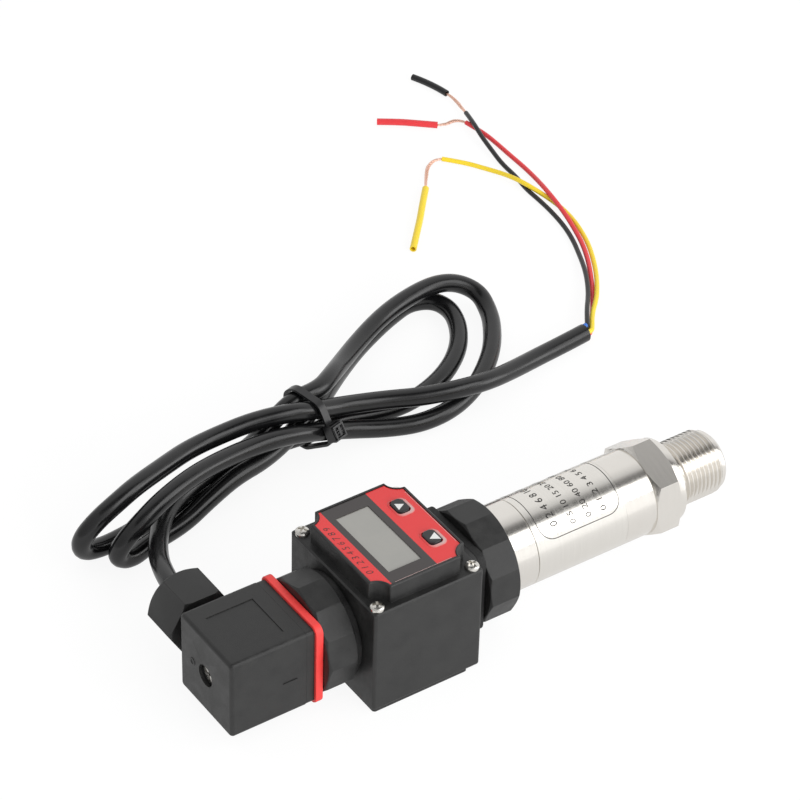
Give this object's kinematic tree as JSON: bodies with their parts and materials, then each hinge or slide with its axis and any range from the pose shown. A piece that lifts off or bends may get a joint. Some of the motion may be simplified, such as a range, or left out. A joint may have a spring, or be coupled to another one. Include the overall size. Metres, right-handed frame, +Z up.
{
  "type": "pressure transmitter",
  "caption": "Pressure transmitter with a plug-in display head, two keys, a square cable plug, threaded process fitting and a coiled cable with bare wires",
  "frame": {"origin": "centre of the underside of the display head", "axes": "+X along the device axis towards the process thread, +Z up towards the display, +Y towards the cable gland"},
  "size_m": [0.2375, 0.2602, 0.0426],
  "materials": {
    "black_nylon": "fine-grained moulded glass-filled nylon",
    "black_rubber": "matt sealing rubber",
    "red_rubber": "smooth silicone rubber",
    "stainless_turned": "turned stainless steel",
    "stainless_satin": "satin stainless tube",
    "steel_screw": "bright stainless screw",
    "plated_brass": "tinned brass contact",
    "circuit_board": "solder-masked board",
    "overlay_film": "printed polyester film",
    "lcd_glass": "reflective display glass",
    "clear_dome": "translucent silicone",
    "key_black": "smooth moulded key",
    "cable_pvc": "smooth PVC jacket",
    "core_black": "PVC core insulation",
    "core_red": "PVC core insulation",
    "core_yellow": "PVC core insulation",
    "core_blue": "PVC core insulation",
    "copper": "twisted bare copper strands",
    "nylon_tie": "moulded nylon tie"
  },
  "bodies": {
    "transmitter": {"process_fitting": "stainless_turned", "transmitter_tube": "stainless_satin", "tube_end_ring": "stainless_turned", "sensor_capsule": "stainless_turned", "sensor_seal": "black_rubber", "sensor_retaining_ring": "stainless_turned", "signal_board": "circuit_board", "transmitter_plug_base": "black_nylon", "transmitter_pins": "plated_brass", "head_gasket": "black_rubber", "display_housing": "black_nylon", "display_cover": "black_nylon", "front_overlay": "overlay_film", "button_rings": "clear_dome", "lcd_module": "lcd_glass", "display_board": "circuit_board", "button_switches": "key_black", "cover_screws": "steel_screw", "head_socket_insert": "black_nylon", "head_socket_contacts": "plated_brass", "head_fixing_screw": "steel_screw", "display_plug_base": "black_nylon", "display_pins": "plated_brass", "display_base_nut": "black_nylon"},
    "up_key": {"up_button": "key_black"},
    "down_key": {"down_button": "key_black"},
    "plug": {"plug_gasket": "red_rubber", "plug_housing": "black_nylon", "plug_insert": "black_nylon", "plug_contacts": "plated_brass", "terminal_screws": "steel_screw", "gland_seal": "black_rubber", "gland_washer": "black_nylon", "cable_jacket": "cable_pvc", "black_core": "core_black", "black_copper": "copper", "black_sleeve": "core_black", "red_core": "core_red", "red_copper": "copper", "red_sleeve": "core_red", "yellow_core": "core_yellow", "yellow_copper": "copper", "yellow_sleeve": "core_yellow", "blue_core_stub": "core_blue", "cable_tie": "nylon_tie"},
    "plug_screw": {"plug_fastening_screw": "steel_screw"},
    "gland": {"gland_nut": "black_nylon"}
  },
  "joints": [
    {"name": "up_button_press", "type": "slide", "parent": "transmitter", "child": "up_key", "axis": [0, 0, -1], "range_m": [0, 0.0004], "stiffness_N_per_m": 2500, "springref_m": -0.0004},
    {"name": "down_button_press", "type": "slide", "parent": "transmitter", "child": "down_key", "axis": [0, 0, -1], "range_m": [0, 0.0004], "stiffness_N_per_m": 2500, "springref_m": -0.0004},
    {"name": "plug_pull", "type": "slide", "parent": "transmitter", "child": "plug", "axis": [-1, 0, 0], "range_m": [0, 0.014]},
    {"name": "plug_screw_turn", "type": "hinge", "parent": "plug", "child": "plug_screw", "pos_m": [-0.057, 0, 0.0184], "axis": [1, 0, 0], "continuous": true},
    {"name": "gland_nut_turn", "type": "hinge", "parent": "plug", "child": "gland", "pos_m": [-0.0488, 0.022, 0.0184], "axis": [0, 1, 0], "continuous": true}
  ]
}
